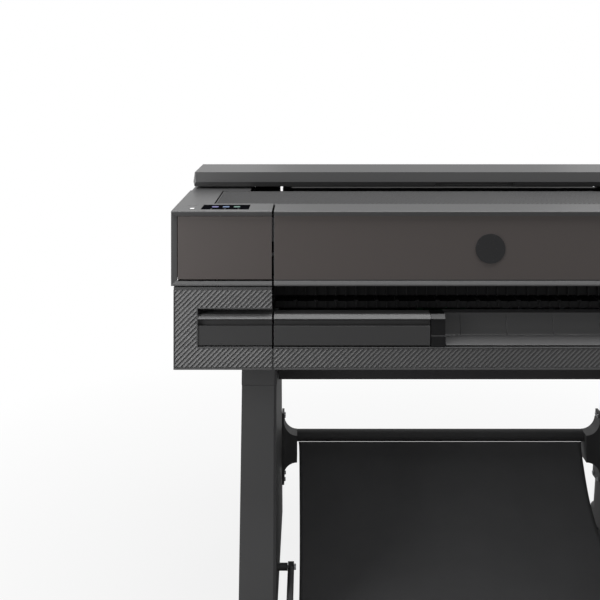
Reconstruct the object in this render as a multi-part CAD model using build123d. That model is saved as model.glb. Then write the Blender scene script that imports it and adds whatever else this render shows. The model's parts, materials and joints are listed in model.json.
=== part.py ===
from build123d import *
import math
import os

# A large format plotter on its stand. Millimetres, +X right, +Y back, +Z up.
# The origin is on the floor, under the centre of the overall box.
# Depths are measured backwards from the front plane of the upper covers, and heights from the floor.

# Driving dimensions
cover_width = 1403.0
overall_depth = 805.0
overall_height = 1155.0
front_overhang = 62.5
body_depth = 600.0
body_bottom = 758.0
body_top = 943.0
body_inset = 5.4
cover_bottom = 946.0
cover_top = 1114.0
window_half = 471.0
seam_gap = 4.5
paper_half = 470.0
plate_x = 604.0
wall = 3.0
leg_inner_x = 469.4
leg_bottom = 100.0
foot_bottom = 62.0
running = 0.05

# Values worked out from them
front_y = front_overhang - overall_depth / 2
half = cover_width / 2
body_half = half - body_inset
module_x = window_half + seam_gap


# Helpers
def middle(pair):
    return (pair[0] + pair[1]) / 2


def grown(pair, gap):
    return (pair[0] - gap, pair[1] + gap)


def block(x, depth, z):
    """A box between two x, depth and z values, each given as a (low, high) pair."""
    sides = [pair[1] - pair[0] for pair in (x, depth, z)]
    return Pos(middle(x), front_y + middle(depth), middle(z)) * Box(*sides)


def prism(points, x):
    """A side profile of (depth, z) points, carried across from x[0] to x[1]."""
    outline = Polygon(*[(front_y + depth, z) for depth, z in points], align=None)
    return extrude(Plane.YZ.offset(x[0]) * outline, x[1] - x[0], dir=(1, 0, 0))


def rod(x, depth, z, radius):
    """A round bar along X."""
    place = Pos(middle(x), front_y + depth, z) * Rot(0, 90, 0)
    return place * Cylinder(radius, x[1] - x[0])


def post(x, depth, z, radius):
    """A round bar along Z, from z[0] to z[1]."""
    return Pos(x, front_y + depth, middle(z)) * Cylinder(radius, z[1] - z[0])


def mirrored(part):
    return mirror(part, about=Plane.YZ)


def both(part):
    return [part, mirrored(part)]


def save(name, *pieces):
    """Writes one node. Each piece is a solid, or a few, of that node."""
    solids = [solid for piece in pieces for solid in piece.solids()]
    export_step(Compound(solids), f"parts/{name}.step")


os.makedirs("parts", exist_ok=True)

# Stand: two slab legs that lean in towards the top, on long feet
leg_top = 679.0
cap_top = body_bottom
leg_front = (60.0, 130.0)
leg_back = (704.0, 580.0)
leg_outer = (556.0, 551.0)
leg_bevel = 6.0
leg_taper = (8.0, 34.0)


def leg_line(pair, z):
    """The value at height z of an edge that goes from pair[0] at the foot to pair[1] at the top."""
    return pair[0] + (pair[1] - pair[0]) * (z - leg_bottom) / (cap_top - leg_bottom)


def leaning_cut(points, pair, low, high):
    """A bar with the plan outline points, (x, depth), that leans with the edge given by pair."""
    slope = (pair[1] - pair[0]) / (cap_top - leg_bottom)
    start = leg_line(pair, low)
    outline = Polygon(*[(x, front_y + start + depth) for x, depth in points], align=None)
    rise = high - low
    return extrude(Pos(0, 0, low) * outline, rise * math.hypot(1, slope), dir=(0, slope, 1))


def leg_slab(low, high, inset):
    """The leg between two heights, pulled in by inset all round, with its inner corners cut."""
    inner = leg_inner_x + inset
    front = [leg_line(leg_front, z) + inset for z in (low, high)]
    back = [leg_line(leg_back, z) - inset for z in (low, high)]
    side = [(front[0], low), (back[0], low), (back[1], high), (front[1], high)]
    slab = prism(side, (inner, leg_outer[0] - inset))
    outer = [leg_line(leg_outer, z) - inset for z in (low, high)]
    beyond = leg_outer[0] + 1
    lean = Polygon((outer[0], low), (beyond, low), (beyond, high), (outer[1], high), align=None)
    slab -= extrude(Plane.XZ * lean, overall_depth, both=True)
    front_corner = [
        (inner - 1, inset - 1),
        (inner + leg_bevel + 1, inset - 1),
        (inner - 1, inset + leg_bevel + 1),
    ]
    slab -= leaning_cut(front_corner, leg_front, low - 1, high + 1)
    taper_x, taper_depth = leg_taper
    grade = taper_depth / taper_x
    rear_corner = [
        (inner - 1, 1 - inset),
        (inner + taper_x + 1 / grade, 1 - inset),
        (inner, -inset - taper_depth),
        (inner - 1, -inset - taper_depth - grade),
    ]
    slab -= leaning_cut(rear_corner, leg_back, low - 1, high + 1)
    return slab


# The basket's front bar hangs on a shoulder screw in each leg
basket_pivot = (230.0, 185.0)
basket_bar_radius = 8.0
basket_eye_x = (429.0, 444.0)
basket_pin_radius = 4.0

# The brace bracket's flange lies on the leg's inner face
flange_x = (463.4, leg_inner_x)
flange_front = 602.0
flange_low = (211.0, 668.0)
flange_high = (421.0, 641.0)
flange_screw_inset = 12.0
screw_radius = 3.0


def flange_screw_places():
    """(depth, z) of the four screws in a bracket's flange."""
    places = []
    for z, back in (flange_low, flange_high):
        height = z + flange_screw_inset * (1 if z == flange_low[0] else -1)
        places.append((flange_front + flange_screw_inset, height))
        places.append((back - flange_screw_inset, height))
    return places


leg = leg_slab(leg_bottom, leg_top, 0) - leg_slab(leg_bottom + wall, leg_top + 1, wall)
leg += rod((basket_eye_x[1] + 1, leg_inner_x + 1), *basket_pivot, 9.0)
leg -= rod((basket_eye_x[1], leg_inner_x + wall + 1), *basket_pivot, basket_pin_radius + 0.1)
for place in flange_screw_places():
    leg -= rod((flange_x[1] - 1, flange_x[1] + 14), *place, screw_radius + 0.1)
save("leg_right", leg)
save("leg_left", mirrored(leg))

cap_gap = 0.4
leg_cap = leg_slab(leg_top + cap_gap, cap_top, -0.8) - leg_slab(leg_top - 1, cap_top - wall, wall)
save("leg_caps", *both(leg_cap))

# Feet, each with a boss for a caster stem near either end
foot_x = (474.0, 552.0)
foot_depth = (-front_overhang, overall_depth - front_overhang)
foot_z = (foot_bottom, leg_bottom)
caster_inset = 46.0
stem_radius = 5.0
caster_x = middle(foot_x)
caster_depths = (foot_depth[0] + caster_inset, foot_depth[1] - caster_inset)

foot = block(foot_x, foot_depth, foot_z)
foot = fillet(foot.edges().filter_by(Axis.Z), 30)
foot = fillet(foot.faces().sort_by(Axis.Z)[-1].edges(), 6)
hollow_x = (foot_x[0] + wall, foot_x[1] - wall)
hollow_depth = (foot_depth[0] + 25, foot_depth[1] - 25)
foot -= block(hollow_x, hollow_depth, (foot_z[0] - 1, foot_z[1] - wall))
for depth in caster_depths:
    foot += post(caster_x, depth, foot_z, 16)
    foot -= post(caster_x, depth, (foot_z[0] - 1, foot_z[0] + 30), stem_radius + running)
save("feet", *both(foot))

# Twin-wheel casters
wheel_radius = 25.0
wheel_x = (7.0, 20.0)
axle_radius = 4.0
trail = 14.0
hood_radii = (27.5, 30.0)
swivel_gap = 0.5


def caster_fork(x, depth):
    axle_depth = depth + trail
    hood_x = (x - wheel_x[1] - 1, x + wheel_x[1] + 1)
    hood = rod(hood_x, axle_depth, wheel_radius, hood_radii[1])
    hood -= rod((x - 60, x + 60), axle_depth, wheel_radius, hood_radii[0])
    hood -= block((x - 60, x + 60), (axle_depth - 60, axle_depth + 60), (-20, wheel_radius + 3))
    web = rod((x - 6, x + 6), axle_depth, wheel_radius, 21)
    web += block((x - 6, x + 6), (axle_depth - 19, axle_depth + 19), (wheel_radius, 53.5))
    disc = post(x, depth, (51.5, foot_bottom - swivel_gap), 17)
    stem = post(x, depth, (56, foot_bottom + 28), stem_radius)
    axle = rod((x - wheel_x[1] - 2, x + wheel_x[1] + 2), axle_depth, wheel_radius, axle_radius)
    return hood + web + disc + stem + axle


def caster_wheels(x, depth):
    wheels = []
    for low, high in (wheel_x, (-wheel_x[1], -wheel_x[0])):
        span = (x + low, x + high)
        tread = rod(span, depth + trail, wheel_radius, wheel_radius)
        tread = fillet(tread.edges(), 3)
        wheels.append(tread - rod(span, depth + trail, wheel_radius, axle_radius + running))
    return wheels


for side, x in (("left", -caster_x), ("right", caster_x)):
    for end, depth in zip(("front", "rear"), caster_depths):
        save(f"caster_fork_{end}_{side}", caster_fork(x, depth))
        save(f"caster_wheels_{end}_{side}", *caster_wheels(x, depth))

# Rail under the body, between the legs
rail_depth = (256.0, 316.0)
rail_z = (645.0, body_bottom - 0.2)
rail_half = leg_inner_x - 1.0
top_rail = block((-rail_half, rail_half), rail_depth, rail_z)
top_rail -= block(
    (-rail_half + wall, rail_half - wall),
    (rail_depth[0] + wall, rail_depth[1] + 1),
    (rail_z[0] + wall, rail_z[1] - wall),
)
save("stand_top_rail", top_rail)

# Brace tube low at the back, with a flared bracket at each end
tube_depth = 644.0
tube_z = 340.0
tube_radius = 17.5
tube_bore = 15.5
tube_half = 425.0
brace_tube = rod((-tube_half + 0.2, tube_half - 0.2), tube_depth, tube_z, tube_radius)
brace_tube -= rod((-tube_half, tube_half), tube_depth, tube_z, tube_bore)
save("brace_tube", brace_tube)


def bracket_section(x, depths, heights):
    points = [(front_y + depth, z) for depth in depths for z in heights]
    outline = Polygon(points[0], points[1], points[3], points[2], align=None)
    return (Plane.YZ.offset(x) * outline).face()


neck_steps = 8
neck_end = ((606.0, 657.0), (275.0, 354.0))
neck_root = ((604.0, 650.0), (240.0, 396.0))


def neck_outline(turn):
    """The neck's x, depths and heights as it flares along a quarter turn from the tube to the flange."""
    x = tube_half + (flange_x[0] - tube_half) * math.sin(turn)
    flare = 1 - math.cos(turn)
    depths = [a + (b - a) * flare for a, b in zip(neck_end[0], neck_root[0])]
    heights = [a + (b - a) * flare for a, b in zip(neck_end[1], neck_root[1])]
    return x, depths, heights


def brace_bracket():
    side = [(flange_front, flange_low[0]), (flange_low[1], flange_low[0])]
    side += [(flange_high[1], flange_high[0]), (flange_front, flange_high[0])]
    bracket = prism(side, (flange_x[0] - 0.5, flange_x[1] - 0.1))
    for step in range(neck_steps):
        turns = (step * math.pi / 2 / neck_steps, (step + 1) * math.pi / 2 / neck_steps)
        bracket += loft([bracket_section(*neck_outline(turn)) for turn in turns], ruled=True)
    bracket += rod((tube_half - 14, tube_half + 1), tube_depth, tube_z, tube_bore - 0.1)
    for place in flange_screw_places():
        bracket -= rod((flange_x[0] - 20, flange_x[1] + 1), *place, screw_radius + 0.1)
        bracket -= rod((flange_x[0] - 40, flange_x[0] - 0.5), *place, 6.5)
    return bracket


save("brace_brackets", *both(brace_bracket()))


def flange_screw(depth, z):
    seat = flange_x[0] - 0.5
    head = rod((seat - 4, seat), depth, z, 5.5) - rod((seat - 5, seat - 2), depth, z, 2.5)
    return head + rod((seat, seat + 16), depth, z, screw_radius)


def pivot_screw():
    head = rod((basket_eye_x[0] - 5, basket_eye_x[0] - 0.5), *basket_pivot, 7)
    shank_x = (basket_eye_x[0] - 0.5, leg_inner_x + wall + 1)
    return head + rod(shank_x, *basket_pivot, basket_pin_radius)


screws = [flange_screw(*place) for place in flange_screw_places()] + [pivot_screw()]
save("stand_screws", *[piece for screw in screws for piece in both(screw)])

# Basket: a front bar on two arms, and the fabric that hangs from it and the brace tube
bar_depth = 5.0
bar_z = 197.0
arm_x = middle(basket_eye_x)
bar_path = FilletPolyline(
    (-arm_x, front_y + basket_pivot[0] - 10, basket_pivot[1]),
    (-arm_x, front_y + bar_depth, bar_z),
    (arm_x, front_y + bar_depth, bar_z),
    (arm_x, front_y + basket_pivot[0] - 10, basket_pivot[1]),
    radius=30,
)
bar_start = Plane(origin=bar_path @ 0, z_dir=bar_path % 0)
basket_frame = sweep(bar_start * Circle(basket_bar_radius), path=bar_path)
for side in (-1, 1):
    eye_x = sorted((side * basket_eye_x[0], side * basket_eye_x[1]))
    basket_frame += rod(eye_x, *basket_pivot, 12)
    basket_frame -= rod((eye_x[0] - 1, eye_x[1] + 1), *basket_pivot, basket_pin_radius + running)
save("basket_frame", basket_frame)

fabric_half = 421.0
fabric_thick = 4.0
fabric_line = [(640, 316), (632, 272), (556, 192), (450, 128), (340, 100), (220, 94)]
fabric_line += [(110, 108), (45, 140), (24, 178)]
fabric_under = [(depth - 1, z - fabric_thick) for depth, z in reversed(fabric_line[1:-1])]
fabric_front = [(20, 176)]
fabric_rear = [(644, 316), (637, 269)]
fabric_profile = fabric_line + fabric_front + fabric_under[:-1] + fabric_rear[::-1]
save("basket_fabric", prism(fabric_profile, (-fabric_half, fabric_half)))

# Body: base, chassis and the outer covers
pan_half = 688.0
pan_depth = (24.0, 592.0)
pan_z = (body_bottom, body_bottom + 4)
board_x = (-330.0, 40.0)
board_depth = (360.0, 540.0)
board_z = (770.0, 772.0)
base_pan = block((-pan_half, pan_half), pan_depth, (pan_z[0], pan_z[0] + 16))
base_pan -= block((-pan_half + 2, pan_half - 2), (pan_depth[0] + 2, pan_depth[1] - 2), (pan_z[1], 790))
for x in (board_x[0] + 10, board_x[1] - 10):
    for depth in (board_depth[0] + 10, board_depth[1] - 10):
        base_pan += post(x, depth, (pan_z[1] - 1, board_z[0]), 4)
save("base_pan", base_pan)

# Shafts that run between the two chassis plates: (depth, z)
feed_axis = (262.0, 884.0)
feed_radius = 15.0
journal_radius = 6.0
pinch_radius = 8.0
pinch_shaft_radius = 4.0
paper_gap = 0.1
pinch_axis = (feed_axis[0], feed_axis[1] + feed_radius + pinch_radius + paper_gap)
guide_axis = (205.0, 975.0)
guide_radius = 8.0
spindle_axis = (450.0, 1010.0)
spindle_radius = 12.0
plate = (plate_x, plate_x + wall)
plate_top = 1095.0

plate_low = pan_z[1] + 0.2
plate_profile = [(115, plate_low), (560, plate_low), (560, plate_top - 25), (535, plate_top)]
plate_profile += [(165, plate_top), (115, plate_top - 45)]
chassis_plate = prism(plate_profile, plate)
chassis_plate -= rod((plate[0] - 1, plate[1] + 1), *feed_axis, journal_radius + running)
chassis_plate -= rod((plate[0] - 1, plate[1] + 1), *pinch_axis, pinch_shaft_radius + running)
chassis_plate -= rod((plate[0] - 1, plate[1] + 1), *guide_axis, guide_radius + running)
chassis_plate -= rod((plate[0] - 1, plate[1] + 1), *spindle_axis, spindle_radius + running)
slot_half = spindle_radius + running
chassis_plate -= block(
    (plate[0] - 1, plate[1] + 1),
    (spindle_axis[0] - slot_half, spindle_axis[0] + slot_half),
    (spindle_axis[1], plate_top + 1),
)
save("chassis_plates", *both(chassis_plate))

# Lower body: a ribbed strip along the bottom, between two end covers with a recess in each face
strip_top = 808.0
recess_x = 642.0
recess_z = (809.0, 895.0)
recess_depth = 42.0
ledge_front = 872.0
ledge_top = 880.5
ledge_slope = 8.0
ledge_under = 850.5
grip_depth = 12.0
tray_face_z = (812.0, 856.0)
tray_face_depth = (2.0, 6.0)
strip_wall = 4.0
strip_return = 20.0
strip_profile = [(0, body_bottom), (0, strip_top), (strip_return, strip_top)]
strip_profile += [(strip_return, strip_top - wall), (strip_wall, strip_top - wall), (strip_wall, body_bottom)]
# Ribbed faces are sunk beds with a narrow flush border; the diagonal ribs stand in them
rib_depth = 2.2
rib_border = 2.0
rib_foot = body_bottom + 4
shadow_low = body_top - 6
strip = prism(strip_profile, (-window_half, window_half))
strip -= block((-window_half - 1, window_half + 1), (-1, rib_depth), (rib_foot, strip_top - rib_border))
save("lower_front_strip", strip)

# The ledge is a handle: a sloped front edge over a hollow for the fingers
ledge_profile = [(0, ledge_front), (ledge_slope, ledge_top), (recess_depth, ledge_top)]
ledge_profile += [(recess_depth, ledge_under), (grip_depth, ledge_under)]
ledge_profile += [(grip_depth, ledge_front - 6), (1, ledge_front - 1.5)]


def lower_cover():
    """The right-hand lower cover; the left-hand one is its mirror."""
    cover_x = (module_x, body_half)
    cover = block(cover_x, (0, body_depth), (body_bottom, body_top))
    inside_depth = (strip_wall, body_depth - wall)
    cover -= block((module_x - 1, body_half - wall), inside_depth, (body_bottom - 1, body_top + 1))
    cover -= block((module_x - 1, recess_x), (-1, 5), recess_z)
    outer_x = body_half - rib_border
    beds = [
        ((module_x - 1, outer_x), (recess_z[1] + rib_border, shadow_low + 0.5)),
        ((recess_x + rib_border, outer_x), (strip_top - rib_border - 1, recess_z[1] + rib_border + 1)),
        ((module_x - 1, outer_x), (rib_foot, strip_top - rib_border)),
    ]
    for x, z in beds:
        cover -= block(x, (-1, rib_depth), z)
    # A shadow gap runs below the upper module
    cover -= block((module_x - 1, body_half + 1), (-1, rib_depth + 0.4), (shadow_low, body_top + 1))
    # A tongue behind the strip's end closes the seam
    tongue_z = (body_bottom + 1, strip_top - wall - 1)
    cover += block((window_half - 7, module_x + 5), (4.3, 6.5), tongue_z)
    cover += block((module_x + 1, module_x + 5), (3.5, 6.5), tongue_z)
    liner = block((module_x, recess_x + wall), (1, recess_depth + wall), (recess_z[0], recess_z[1] + wall))
    liner -= block((module_x - 1, recess_x), (0, recess_depth), recess_z)
    cover += liner
    cover += prism(ledge_profile, (module_x, recess_x))
    face_x = (module_x, recess_x)
    sill = block(face_x, (wall, recess_depth + 1), tray_face_z)
    sill_top = (tray_face_z[0] + wall, tray_face_z[1] + 1)
    sill -= block((module_x - 1, recess_x - wall), (2 * wall, recess_depth), sill_top)
    cover += sill
    return cover


save("lower_cover_right", lower_cover())
save("lower_cover_left", mirrored(lower_cover()))

# Upper end modules. The rim round each face is a sloped frame, and the face inside it is set back
rim_width = 12.5
face_depth = 6.0
lip = 1.2
rim_top = (1110.0, 1102.0)
rim_bottom = (949.0, 958.0)
groove_z = (955.6, 958.6)
groove_front = 4.4
groove_back = 7.0
strip_depth = 107.0
well_depth = 322.0
module_back = 545.0
module_step = 4.0
module_shoulder = 1070.0
step_depth = 330.0
module_cut_x = (616.5, 546.0)


def rim_section(outer_x, depth, top, bottom):
    plane = Plane(origin=(0, front_y + depth, 0), x_dir=(1, 0, 0), z_dir=(0, -1, 0))
    outline = Polygon((0, bottom), (outer_x, bottom), (outer_x, top), (0, top), align=None)
    return (plane * outline).face()


def end_module():
    """The right-hand upper module. Its top steps down a little under the roll cover."""
    low_top = cover_top - module_step
    outer = [(0, cover_bottom), (0, cover_top - lip), (lip, cover_top), (step_depth, cover_top)]
    outer += [(step_depth + 2, low_top), (module_back, low_top), (body_depth, module_shoulder)]
    outer += [(body_depth, cover_bottom)]
    inner = [(8, cover_bottom - 2), (8, cover_top - wall), (step_depth - 2, cover_top - wall)]
    inner += [(step_depth, low_top - wall), (module_back - 1, low_top - wall)]
    inner += [(body_depth - wall, module_shoulder - 2), (body_depth - wall, cover_bottom - 2)]
    module = prism(outer, (module_x, half)) - prism(inner, (module_x - 1, half - wall))
    rim_faces = [
        rim_section(half - 0.5, 0, rim_top[0], rim_bottom[0]),
        rim_section(half - rim_width, face_depth, rim_top[1], rim_bottom[1]),
    ]
    module -= loft(rim_faces, ruled=True)
    module -= block((module_x - 1, half - rim_width), (groove_front, 9), (groove_z[0], rim_top[1]))
    module -= block((module_x - 1, module_cut_x[0]), (strip_depth + 1, well_depth), (1080, cover_top + 1))
    rear_cut_depth = (well_depth - 1, body_depth + 1)
    module -= block((module_x - 1, module_cut_x[1]), rear_cut_depth, (1000, cover_top + 1))
    # Boss for the window's hinge pin
    module += block((module_x, module_x + 14), (98, strip_depth), (1104, cover_top))
    return module


# The window's hinge is the bar along its rear edge
window_axis = (104.0, 1111.0)
window_pin_radius = 2.0
pin_x = (window_half - 1, window_half + 12)
module = end_module() - rod((module_x - 1, module_x + 10), *window_axis, window_pin_radius + running)

# The door over the ink turns on a pin in the rim, inside its rounded lower edge
door_thick = 2.5
door_pin_radius = 0.9
door_pin_x = (half - rim_width - 0.5, half - 6)
door_x = (module_x + 0.5, half - rim_width - 1.6)
door_z = (rim_bottom[1] + 1, rim_top[1] - 0.7)
door_axis = (face_depth + door_thick / 2, door_z[0] + door_thick / 2)
module += block((half - rim_width, half - 2), (face_depth, face_depth + 6), (955, 966))
module -= rod((door_pin_x[0] - 1, door_pin_x[1] + 0.5), *door_axis, door_pin_radius + running)

# Display and two buttons, let into the left module's top
display_x = (-638.0, -529.0)
display_depth = (23.0, 90.0)
power_x = (-665.0, -652.0)
power_depth = (23.0, 47.0)
wake_x = (-673.0, -655.0)
wake_depth = (75.0, 101.0)
fit_gap = 0.25

module_left = mirrored(module)
for x, depth in ((display_x, display_depth), (power_x, power_depth), (wake_x, wake_depth)):
    module_left -= block(grown(x, fit_gap), grown(depth, fit_gap), (cover_top - wall - 1, cover_top + 1))
save("end_module_left", module_left)

# The right module's face doesn't open: its panel is part of it
module_face_z = (rim_bottom[1] - 1, rim_top[1] + 1)
module_face = block((module_x, half - rim_width + 0.5), (face_depth, face_depth + wall), module_face_z)
save("end_module_right", module + module_face)


def button(x, depth):
    cap = block(x, depth, (1106, cover_top + 0.4))
    return cap + block(grown(x, 1.5), grown(depth, 1.5), (1105, 1107))


save("display_glass", block(display_x, display_depth, (cover_top - wall, cover_top)))
save("power_button", button(power_x, power_depth))
save("wake_button", button(wake_x, wake_depth))

ink_door = block(door_x, (face_depth, face_depth + door_thick), (door_axis[1], door_z[1]))
ink_door += rod(door_x, *door_axis, door_thick / 2)
ink_door += rod((door_x[1] - 1, door_pin_x[1]), *door_axis, door_pin_radius)
save("ink_door", mirrored(ink_door))

# The window: a front panel and the top strip behind it, in one piece
window_top = cover_top - 0.5
window_profile = [(0, cover_bottom), (0, rim_bottom[0]), (groove_front, groove_z[0])]
window_profile += [(groove_back, groove_z[0]), (groove_back, groove_z[1]), (face_depth, groove_z[1])]
window_profile += [(face_depth, rim_top[1])]
window_profile += [(0, rim_top[0]), (0, window_top - lip), (lip, window_top)]
window_profile += [(window_axis[0], window_top), (window_axis[0], window_top - wall)]
window_profile += [(9, window_top - wall), (9, rim_bottom[1] - 1)]
window_profile += [(wall, rim_bottom[0] - 0.5), (wall, cover_bottom)]
window = prism(window_profile, (-window_half, window_half))
window += rod((-window_half, window_half), *window_axis, 3.1)
for side in both(rod((window_half - 1, module_x + 8), *window_axis, window_pin_radius)):
    window += side
save("front_window", window)

emblem_centre = (15.7, 1028.6)
emblem_radius = 33.5
emblem_thick = 2.0
emblem_y = front_y + face_depth - emblem_thick / 2
emblem_place = Pos(emblem_centre[0], emblem_y, emblem_centre[1]) * Rot(90, 0, 0)
save("emblem_disc", emblem_place * Cylinder(emblem_radius, emblem_thick))

top_cover_z = cover_top - 1.5
top_cover_depth = (110.0, 319.0)
top_cover_skirt = 1100.0
top_cover_under = top_cover_z - wall - 1
top_cover_profile = [(top_cover_depth[0], top_cover_z), (top_cover_depth[1], top_cover_z)]
top_cover_profile += [(top_cover_depth[1], top_cover_skirt), (top_cover_depth[1] - wall, top_cover_skirt)]
top_cover_profile += [(top_cover_depth[1] - wall, top_cover_under), (top_cover_depth[0], top_cover_under)]
top_cover_half = 613.5
top_rib_depth = 1.2
top_cover = prism(top_cover_profile, (-top_cover_half, top_cover_half))
bed_x = (-top_cover_half + rib_border, top_cover_half - rib_border)
bed_depth = (top_cover_depth[0] + rib_border, top_cover_depth[1] - rib_border)
top_cover -= block(bed_x, bed_depth, (top_cover_z - top_rib_depth, top_cover_z + 1))
save("rear_top_cover", top_cover)

tower_x = ((440.0, 465.0), (473.0, 545.0))
rear_top = 1078.0
rear_lip_half = 441.0
rear_lip_top = 1092.0
wing_x = module_cut_x[1] - 0.1
notch_low = 1072.0
shelf_depth = (562.0, body_depth)
shelf_z = (rear_top - wall, rear_top)
lip_depth = (body_depth - 4, body_depth)
skin_depth = (body_depth - wall, body_depth)
rear_x = (-module_x + 1, module_x - 1)
rear_cover = block(rear_x, skin_depth, (body_bottom + 4, rear_top)) + block(rear_x, shelf_depth, shelf_z)
rear_cover += block((-rear_lip_half, rear_lip_half), lip_depth, (shelf_z[0], rear_lip_top))
# Wings that carry the outer hinge towers
wing_low = 1001.0
rear_wing = block((module_x - 2, wing_x), shelf_depth, shelf_z)
rear_wing += block((module_x - 2, wing_x), skin_depth, (wing_low, rear_top))
for wing in both(rear_wing):
    rear_cover += wing
# A notch between the two towers of each pair
notch_x = (tower_x[0][1], tower_x[1][0])
for notch in both(block(notch_x, (shelf_depth[0] - 1, body_depth + 1), (notch_low, rear_lip_top))):
    rear_cover -= notch
# Vent slots behind the power supply
rear_vent_x = (180.0, 240.0, 300.0, 360.0)
rear_vent_length = 40.0
rear_vent_z = (800.0, 806.0)
for x in rear_vent_x:
    rear_cover -= block((x, x + rear_vent_length), grown(skin_depth, 1), rear_vent_z)
save("rear_cover", rear_cover)

# Roll cover, hinged low at the back on two towers a side
roll_axis = (572.0, 1103.0)
roll_pin_radius = 4.0
roll_nose = (383.0, 1129.0)
roll_lean = (2.0, 7.0)
roll_bottom = 1116.0
roll_back = 582.0
roll_corner = 7.0
lug_x = (546.0, 556.0)


def roll_shell(inset):
    """The roll cover's outer form pulled in by inset: its front and both ends lean out to a nose line."""
    front = roll_nose[0] + inset
    top = overall_height - inset
    low = roll_bottom - inset
    side = [(front + roll_lean[1], low), (front, roll_nose[1]), (front + roll_lean[0], top)]
    side += [(roll_back - inset - 6, top), (roll_back - inset, top - 6), (roll_back - inset, low)]
    end = half - inset
    across = [(end - 4, top), (end, roll_nose[1]), (end - 3, low)]
    across += [(-x, z) for x, z in reversed(across)]
    shell = prism(side, (-half, half))
    shell &= extrude(Plane.XZ * Polygon(*across, align=None), overall_depth, both=True)
    return shell


roll_cover = roll_shell(0) - roll_shell(wall)
corner_cut = Pos(half, front_y + roll_nose[0], middle((roll_bottom, overall_height))) * Rot(0, 0, 45)
for cut in both(corner_cut * Box(2 * roll_corner, roll_corner * 1.4, 60)):
    roll_cover -= cut
# The hand-hold is a slot at the front with a closed pocket behind it
grip_x = (-51.0, 162.0)
grip_z = (1117.5, 1126.0)
pocket = block(grown(grip_x, wall), (roll_nose[0] + 6, 409), (roll_bottom, grip_z[1] + wall))
roll_cover += pocket
roll_cover -= block(grip_x, (370, 406), grip_z)
lug_profile = [(564, 1100), (564, overall_height - 1), (579.5, overall_height - 1), (579.5, 1100)]
for lug in both(prism(lug_profile, lug_x) + rod(lug_x, *roll_axis, 8)):
    roll_cover += lug
roll_cover -= rod((-lug_x[1] - 1, lug_x[1] + 1), *roll_axis, roll_pin_radius + running)
save("roll_cover", roll_cover)

towers = []
for x in tower_x:
    tower = block(x, (562, roll_back), (rear_top + 0.2, roll_axis[1] + 8))
    tower = fillet(tower.faces().sort_by(Axis.Z)[-1].edges().filter_by(Axis.X), 7)
    towers += [tower]
towers[1] += rod((tower_x[1][1] - 1, lug_x[1]), *roll_axis, roll_pin_radius)
save("hinge_towers", *[piece for tower in towers for piece in both(tower)])

# Roll well and spindle
trough_half = 545.0
trough_radius = 82.0
trough_top = 1092.0
trough = rod((-trough_half, trough_half), *spindle_axis, trough_radius + 2)
trough += block(
    (-trough_half, trough_half),
    (spindle_axis[0] - trough_radius - 2, spindle_axis[0] + trough_radius + 2),
    (spindle_axis[1], trough_top),
)
trough_flange = (328.0, 558.0)
trough += block((-trough_half, trough_half), trough_flange, (trough_top - 2, trough_top))
hollow = rod((-trough_half + 2, trough_half - 2), *spindle_axis, trough_radius)
hollow += block(
    (-trough_half + 2, trough_half - 2),
    (spindle_axis[0] - trough_radius, spindle_axis[0] + trough_radius),
    (spindle_axis[1], trough_top + 1),
)
trough -= hollow
# The same notch goes on through the well's rear flange
for notch in both(block(notch_x, (spindle_axis[0], trough_flange[1] + 1), (notch_low + 8, trough_top + 1))):
    trough -= notch
trough -= rod((-trough_half - 1, trough_half + 1), *spindle_axis, spindle_radius + 2)
trough -= block(
    (-trough_half - 1, trough_half + 1),
    (spindle_axis[0] - spindle_radius - 2, spindle_axis[0] + spindle_radius + 2),
    (spindle_axis[1], trough_top + 1),
)
save("roll_trough", trough)

hub_x = (462.0, 474.0)
spindle = rod((-plate[1] - 10, plate[1] + 10), *spindle_axis, spindle_radius)
for hub in both(rod(hub_x, *spindle_axis, 65) + rod((hub_x[0] - 40, hub_x[0]), *spindle_axis, 25)):
    spindle += hub
save("roll_spindle", spindle)

# Carriage, its rail and guide rod
beam_depth = (225.0, 265.0)
beam_z = (1000.0, 1062.0)
beam_half = plate_x - 0.2
save("guide_rod", rod((-plate[1], plate[1]), *guide_axis, guide_radius))

pulley_x = 585.0
pulley_depth = 245.0
pulley_radius = 11.0
belt_thick = 1.4
belt_z = (1066.5, 1075.5)
carriage_rail = block((-beam_half, beam_half), beam_depth, beam_z)
rail_hollow_depth = (beam_depth[0] + wall, beam_depth[1] + 1)
rail_hollow_z = (beam_z[0] + wall, beam_z[1] - wall)
carriage_rail -= block((-beam_half - 1, beam_half + 1), rail_hollow_depth, rail_hollow_z)
for x in (-pulley_x, pulley_x):
    carriage_rail -= post(x, pulley_depth, (beam_z[1] - wall - 1, beam_z[1] + 1), wall + running)
save("carriage_rail", carriage_rail)


def pulley(x, shaft_top):
    body = post(x, pulley_depth, (belt_z[0] - 0.5, belt_z[1] + 0.5), pulley_radius)
    for z in ((belt_z[0] - 2, belt_z[0] - 0.5), (belt_z[1] + 0.5, belt_z[1] + 2)):
        body += post(x, pulley_depth, z, pulley_radius + belt_thick + 0.6)
    body += post(x, pulley_depth, (beam_z[1] - wall - 4, belt_z[0]), wall)
    return body + post(x, pulley_depth, (belt_z[1], shaft_top), 2.5)


save("scan_pulley_left", pulley(-pulley_x, 1092))
save("scan_pulley_right", pulley(pulley_x, 1080))

belt_place = Pos(0, front_y + pulley_depth, belt_z[0])
belt_radius = pulley_radius + 0.1
belt_outer = belt_place * SlotCenterToCenter(2 * pulley_x, 2 * (belt_radius + belt_thick))
belt_inner = belt_place * SlotCenterToCenter(2 * pulley_x, 2 * belt_radius)
save("drive_belt", extrude(belt_outer - belt_inner, belt_z[1] - belt_z[0]))

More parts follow.
